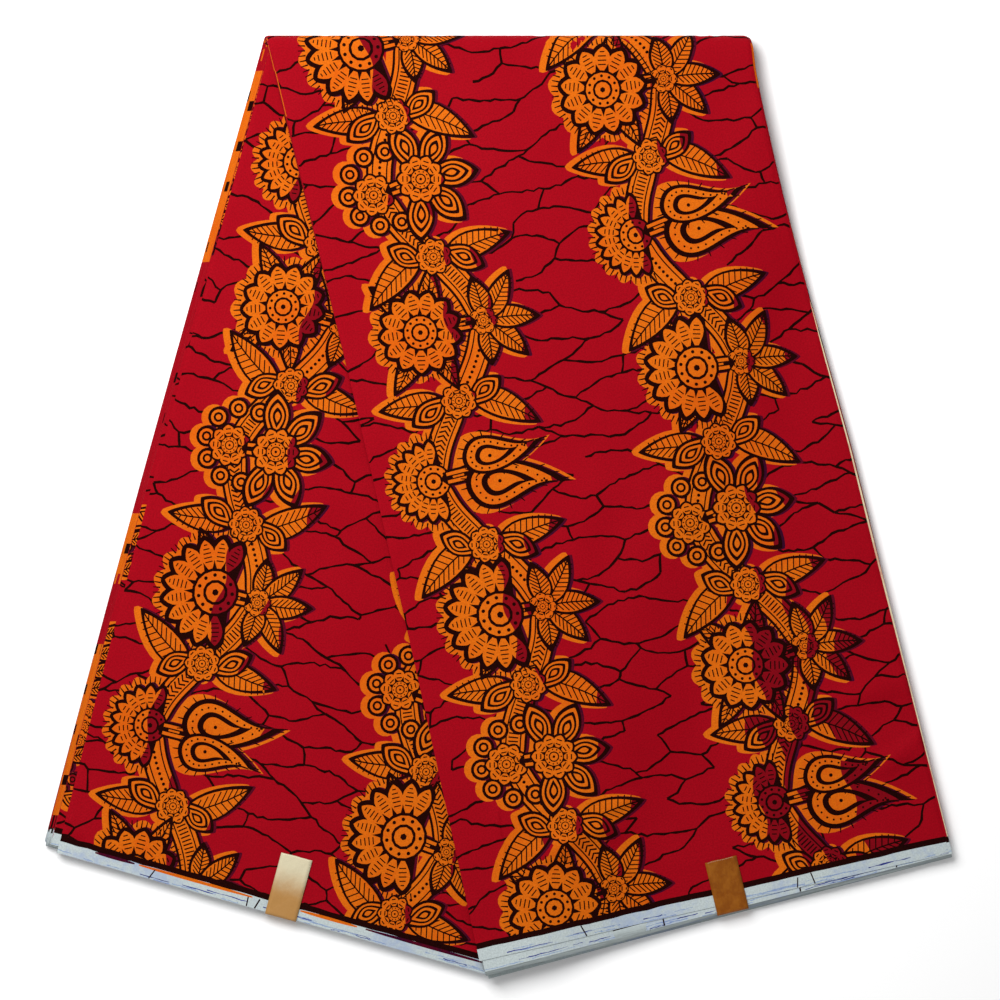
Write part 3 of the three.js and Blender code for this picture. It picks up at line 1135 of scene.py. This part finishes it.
# The fan-folded stack: one strip that runs to and fro between the sheets that show.
def pleatedStack():
    rng = random.Random(8)
    first, last = stack["first"], stack["last"]
    section = []  # place among the layers, share across, and how far it stands out at the side
    for layer in range(first, last + 1):
        shares = np.linspace(0, 1, stack["acrossSteps"])
        if (layer - first) % 2:
            shares = shares[::-1]
        section += [(layer, share, 0) for share in shares]
        if layer < last:
            for i in range(1, stack["loopSteps"]):
                angle = math.pi * i / stack["loopSteps"]
                section.append((layer + (1 - math.cos(angle)) / 2, shares[-1], math.sin(angle)))
    sideWander = {n: rng.uniform(-1, 1) * stack["raggedSide"] for n in range(first - 1, last + 2)}
    phases = [rng.uniform(0, 6.28) for _ in range(last + 2)]

    zones = [("front", t) for t in (0, 0.013, 0.02, *np.linspace(0.035, 1, stack["frontRows"]))]
    zones += rowsIn("turn", sheets["coarseTurn"])
    zones += [("back", t) for t in (*np.linspace(0.015, 0.965, stack["backRows"]), 0.98, 0.987, 1)]
    points, ends = [], []
    for zone, share in zones:
        for place, across, outset in section:
            layer, phase = layerAt("hidden", place), phases[int(place)]
            along, total = float(alongOf(layer, across, zone, share)), float(endOf(layer, across))
            if (zone == "front" and share < 0.03) or (zone == "back" and share > 0.97):
                along += stack["raggedEnd"] * math.sin(phase + place * 0.9 + across * 5)
            point = layOut(layer, np.array([across]), np.array([along]))[0]
            wander = sideWander[int(place)] * math.sin(along / 90 + phase) * (across in (0.0, 1.0))
            point[0] += (-1 if across < 0.5 else 1) * (stack["outset"] + abs(wander)) * outset
            points.append(tuple(point * mm))
            ends.append(min(along, total - along))
    columns, blackEnd = len(section), cloth["selvedge"] + cloth["border"]
    faces, slots, uvs = [], [], []
    for row in range(len(zones) - 1):
        for column in range(columns - 1):
            a = row * columns + column
            face = [a, a + 1, a + 1 + columns, a + columns]
            place, across, outset = section[column]
            near = sum(ends[v] for v in face) / 4
            ink = white if near < cloth["selvedge"] else black if near < blackEnd else red
            if ink == red and outset + section[column + 1][2] > 0:
                ink = patch(*zones[row], int(place), phases[int(place)], -1 if across < 0.5 else 1)
            faces.append(face)
            slots.append(ink)
            uvs += [(u * 0.004, v * 0.013) for u, v in square(column, row)]
    piece = clothPiece("pleatedStack", points, faces, slots, uvs)
    return thickened(piece, stack["thickness"] * cloth["sheet"], 0)


# Gives a piece its thickness: offset is 0 for both ways and -1 for inwards.
def thickened(piece, thickness, offset):
    bpy.context.view_layer.objects.active = piece
    modifier = piece.modifiers.new("wall", "SOLIDIFY")
    modifier.thickness, modifier.offset = thickness * mm, offset
    bpy.ops.object.modifier_apply(modifier="wall")
    return piece


hidden = pleatedStack()
ownedBy(hidden, "hidden_layers")


# Tape

tape = {
    "wall": 0.18,
    "lengthSteps": 44,
    "widthSteps": 8,
    "ripple": 0.16,
    "bend": 1.1,  # radius where it goes over the cloth's edge
    "leans": {"front": 13.4, "back": -15.1},
    "ragged": 0.15,
    "fibreDepth": 0.00006,
    "blotchDepth": 0.0007,
}
tapePieces = [
    {"name": "frontTape", "node": "front_tape", "colour": (118, 60, 2), "pale": (140, 80, 4), "seed": 2},
    {"name": "backTape", "node": "back_tape", "colour": (166, 122, 68), "pale": (200, 190, 160), "seed": 6},
]


# paleEnd is for a tape that has the glare of its shiny film over its inner end.
def tapeMaterial(name, colour, pale, paleEnd):
    tree = Tree(name)
    where = tree.add("ShaderNodeUVMap", {"uv_map": "tape"})
    fibres = tree.noise(tree.add("ShaderNodeMapping", {}, where, Scale=(1, 0.2, 1)), 700, 3, 0.6)
    blotches = tree.noise(where, 95, 3, 0.6)
    if paleEnd:
        down = tree.add("ShaderNodeSeparateXYZ", {}, where, output="Y")
        share = tree.between(down + blotches * 0.012, 0.036, 0.012)
    else:
        share = tree.between(blotches + fibres * 0.3, 0.45, 0.85)
    tree.finish({
        "Base Color": tree.mix(share, [*linear(*colour), 1], [*linear(*pale), 1]),
        "Roughness": tree.between(blotches, 0.3, 0.75, 0.2, 0.42),
        "Specular IOR Level": 0.2,
        "Coat Weight": 0.1,
        "Coat Roughness": 0.16,
    })
    tree.bump(fibres * tape["fibreDepth"] + blotches * tape["blotchDepth"])
    return tree.material


# The CAD tape gives the place: its section is read off along the tape, from the cloth over the edge and down.
def tapePiece(name, node, colour, pale, seed):
    low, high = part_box(node)
    vertices = np.array([v.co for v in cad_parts[node].data.vertices])
    centre = np.array([(low.x + high.x) / 2, (low.y + high.y) / 2])
    half = "front" if centre[0] > 0 else "back"
    lean = math.radians(tape["leans"][half])
    outwards = np.array([math.sin(lean), -math.cos(lean)])
    sideways = np.array([-outwards[1], outwards[0]])
    reach = (vertices[:, :2] - centre) @ outwards
    width = np.ptp((vertices[:, :2] - centre) @ sideways)
    top, bottom = high.z, low.z
    start, end = reach.min(), reach.max()

    bpy.ops.object.select_all(action="DESELECT")
    steps = tape["widthSteps"]
    bpy.ops.mesh.primitive_grid_add(x_subdivisions=steps, y_subdivisions=tape["lengthSteps"], size=1)
    piece = bpy.context.object
    piece.name = piece.data.name = name
    rng = random.Random(seed)
    bend = tape["bend"] * mm
    flatLength = end - start - bend
    wrap = bend * math.pi / 2
    total = flatLength + wrap + top - bend - bottom
    ends = [rng.uniform(-tape["ragged"], tape["ragged"]) * mm for _ in range(steps + 1)]
    uv = piece.data.uv_layers.new(name="tape")
    flat = {}
    for vertex in piece.data.vertices:
        across, share = vertex.co.x, 0.5 - vertex.co.y
        travelled = share * total + ends[round((across + 0.5) * steps)] * (1 - share)
        flat[vertex.index] = (across * width, travelled)
        ripple = math.sin(across * 7 + travelled * 260) * (0.4 + 0.6 * math.sin(travelled * 140))
        if travelled < flatLength:
            place, height = start + travelled, top + tape["ripple"] * mm * ripple
        elif travelled < flatLength + wrap:
            angle = (travelled - flatLength) / bend
            place, height = start + flatLength + bend * math.sin(angle), top - bend * (1 - math.cos(angle))
        else:
            place, height = end, top - bend - (travelled - flatLength - wrap)
        at = centre + outwards * place + sideways * across * width
        vertex.co = (at[0], at[1], height)
    for loop in piece.data.loops:
        uv.data[loop.index].uv = flat[loop.vertex_index]
    thickened(piece, tape["wall"], -1)
    piece.data.materials.append(tapeMaterial(name + "Film", colour, pale, half == "back"))
    piece.data.polygons.foreach_set("use_smooth", np.ones(len(piece.data.polygons), bool))
    ownedBy(piece, node)
    print(f"{name} made")


for settings in tapePieces:
    tapePiece(**settings)


# Floor, light and camera

studio = {
    "floorSize": 6,
    "floorColour": (0.99, 0.99, 0.99, 1),
    "world": 0.32,
    "lights": {  # power, size and place
        "key": (24, 0.9, (-0.42, 0.6, 1.1)),
        "fill": (1.6, 1.2, (0.15, -0.95, 0.75)),
    },
    "photoWidth": 0.674,  # metres across the picture
    "cameraHeight": 4.0,
    "lookAt": (-0.0072, -0.3036),  # from the middle of the fold
    "sensor": 36,
}


def makeFloor():
    bpy.ops.object.select_all(action="DESELECT")
    bpy.ops.mesh.primitive_plane_add(size=studio["floorSize"], location=(0, 0, 0))
    floor = bpy.context.object
    floor.name = "floor"
    tree = Tree("floorPaper")
    tree.finish({"Base Color": studio["floorColour"], "Roughness": 0.9, "Specular IOR Level": 0.1})
    floor.data.materials.append(tree.material)


def areaLight(name, power, size, at):
    data = bpy.data.lights.new(name, "AREA")
    data.energy, data.size = power, size
    light = bpy.data.objects.new(name, data)
    light.location = at
    light.rotation_euler = (-Vector(at)).to_track_quat("-Z", "Y").to_euler()
    scene.collection.objects.link(light)


def makeCamera():
    data = bpy.data.cameras.new("camera")
    camera = bpy.data.objects.new("camera", data)
    data.sensor_width = studio["sensor"]
    data.lens = data.sensor_width * studio["cameraHeight"] / studio["photoWidth"]
    data.clip_end = 50
    lookX, lookY = studio["lookAt"]
    camera.location = (foldX * mm + lookX, foldY * mm + lookY, studio["cameraHeight"])
    scene.collection.objects.link(camera)
    scene.camera = camera


makeFloor()
for name, light in studio["lights"].items():
    areaLight(name, *light)
scene.world = bpy.data.worlds.new("studio")
scene.world.use_nodes = True
background = scene.world.node_tree.nodes["Background"]
background.inputs["Color"].default_value = (1, 1, 1, 1)
background.inputs["Strength"].default_value = studio["world"]
scene.view_settings.view_transform = "Standard"
makeCamera()
print("studio made")
